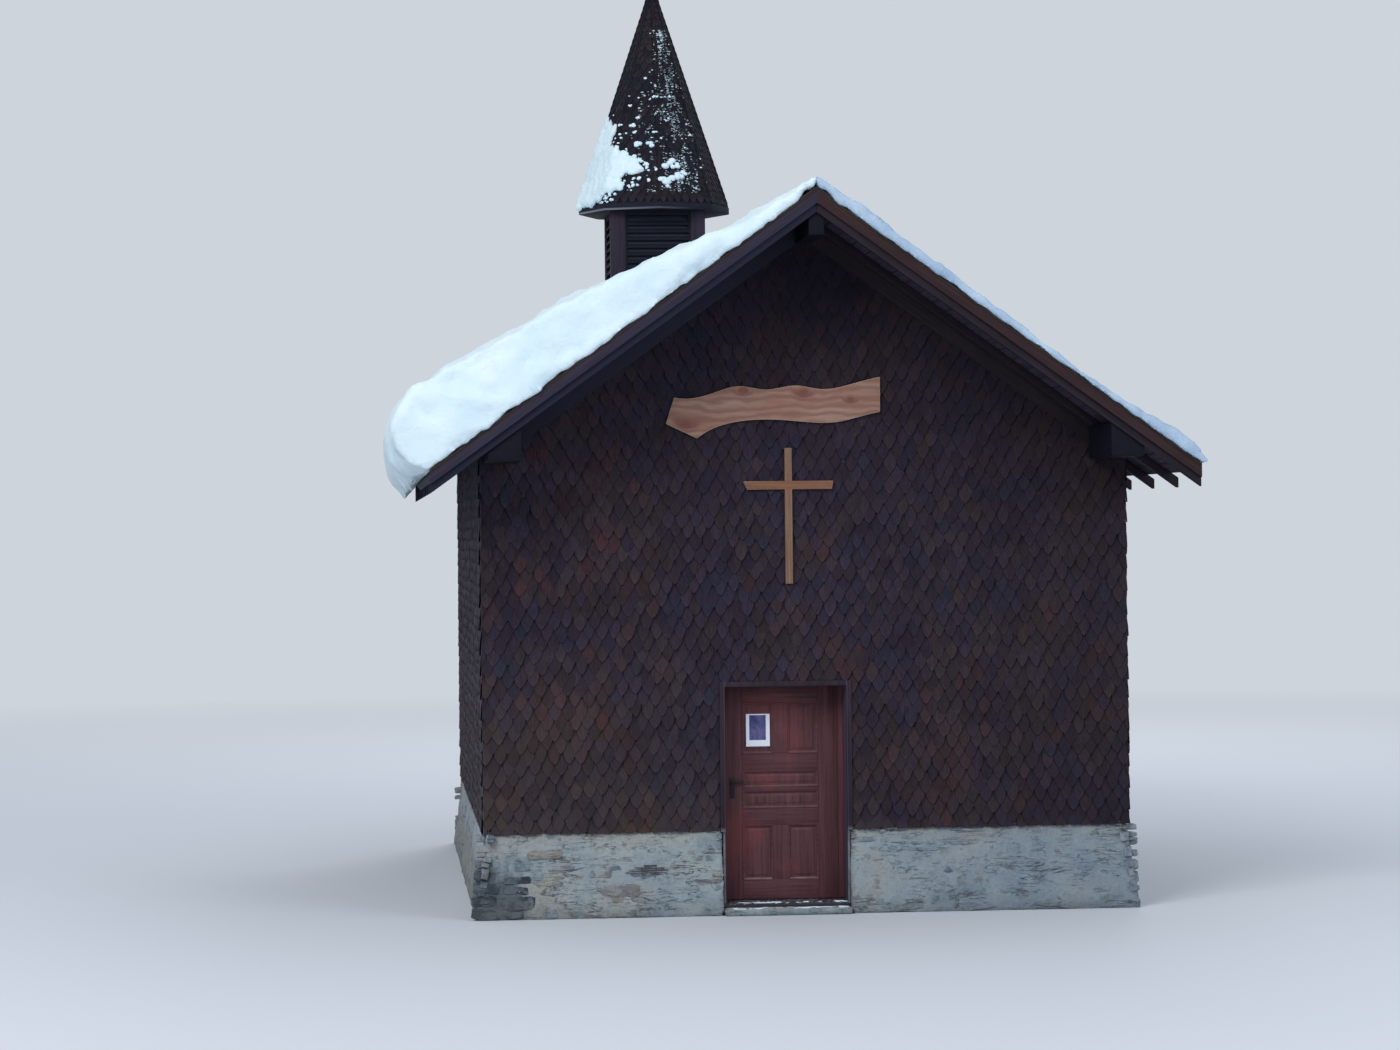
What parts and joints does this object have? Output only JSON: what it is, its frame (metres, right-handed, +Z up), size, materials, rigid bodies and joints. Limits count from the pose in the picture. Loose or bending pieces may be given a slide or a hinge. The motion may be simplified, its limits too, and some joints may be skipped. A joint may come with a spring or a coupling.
{
  "type": "small chapel",
  "caption": "Small gabled mountain chapel with shingled walls on a rubble plinth, a panelled door, snow on the roof and a louvred turret with an octagonal spire.",
  "frame": {"origin": "on the ground under the ridge, halfway along the building", "axes": "+X to the right seen from the front, +Y from the door into the building along the ridge, +Z up"},
  "size_m": [7.2987, 10.26, 9.1],
  "materials": {
    "rubble_stone": "rough lime-mortared rubble, pale blue-grey with ochre and dark stained stones",
    "lime_render": "plain lime render on masonry, off-white",
    "floor_stone": "worn stone paving, grey",
    "wall_shingle": "weathered wooden shingles, dark purplish brown",
    "roof_shingle": "old wooden roof shingles, near black brown",
    "spire_shingle": "small dark wooden shingles with moss",
    "roof_timber": "sawn timber, darkened by weather",
    "soffit_board": "planed roof boards, grey brown",
    "barge_timber": "planed board, orange brown, weathered",
    "door_wood": "stained softwood, reddish brown, satin",
    "frame_wood": "stained softwood, dark purplish brown",
    "sill_wood": "worn oak sill, dark grey brown",
    "cross_wood": "planed larch, tan, oiled",
    "sign_wood": "waney-edged slab, light orange brown with reddish knots",
    "turret_board": "painted boards, dull purplish brown",
    "louvre_board": "weathered slats, dark blue grey",
    "fascia_board": "weathered fascia, grey with a pale lower edge",
    "black_iron": "blackened iron, worn at the edges",
    "sheet_metal": "dull dark sheet metal",
    "notice_paper": "printed paper sheet with a plain blue design",
    "snow": "settled snow, bluish white"
  },
  "bodies": {
    "building": {"floor_slab": "floor_stone", "threshold_stone": "floor_stone", "plinth_front_left": "rubble_stone", "plinth_front_right": "rubble_stone", "plinth_left": "rubble_stone", "plinth_right": "rubble_stone", "plinth_rear": "rubble_stone", "front_wall_left": "lime_render", "front_wall_right": "lime_render", "front_gable": "lime_render", "rear_wall": "lime_render", "left_wall": "lime_render", "right_wall": "lime_render", "front_cladding": "wall_shingle", "rear_cladding": "wall_shingle", "left_cladding": "wall_shingle", "right_cladding": "wall_shingle", "ridge_beam": "roof_timber", "eave_purlin_left": "roof_timber", "eave_purlin_right": "roof_timber", "rafters_left": "roof_timber", "rafters_right": "roof_timber", "gable_friezes": "roof_timber", "roof_deck_left": "soffit_board", "roof_deck_right": "soffit_board", "roof_covering_left": "roof_shingle", "roof_covering_right": "roof_shingle", "ridge_cap": "sheet_metal", "front_bargeboard": "barge_timber", "rear_bargeboard": "barge_timber", "door_frame": "frame_wood", "door_sill": "sill_wood", "hinge_pintles": "black_iron", "cross": "cross_wood", "sign_board": "sign_wood", "turret_posts": "turret_board", "turret_louvres": "louvre_board", "spire_eave": "fascia_board", "spire_shell": "spire_shingle", "roof_snow_left": "snow", "roof_snow_right": "snow", "spire_snow": "snow"},
    "door": {"door_leaf": "door_wood", "door_panels": "door_wood", "door_lock": "black_iron", "hinge_straps": "black_iron", "door_notice": "notice_paper"}
  },
  "joints": [
    {"name": "door_hinge", "type": "hinge", "parent": "building", "child": "door", "pos_m": [0.369, -3.638, 1.1], "axis": [0, 0, -1], "range_deg": [0, 90]}
  ]
}
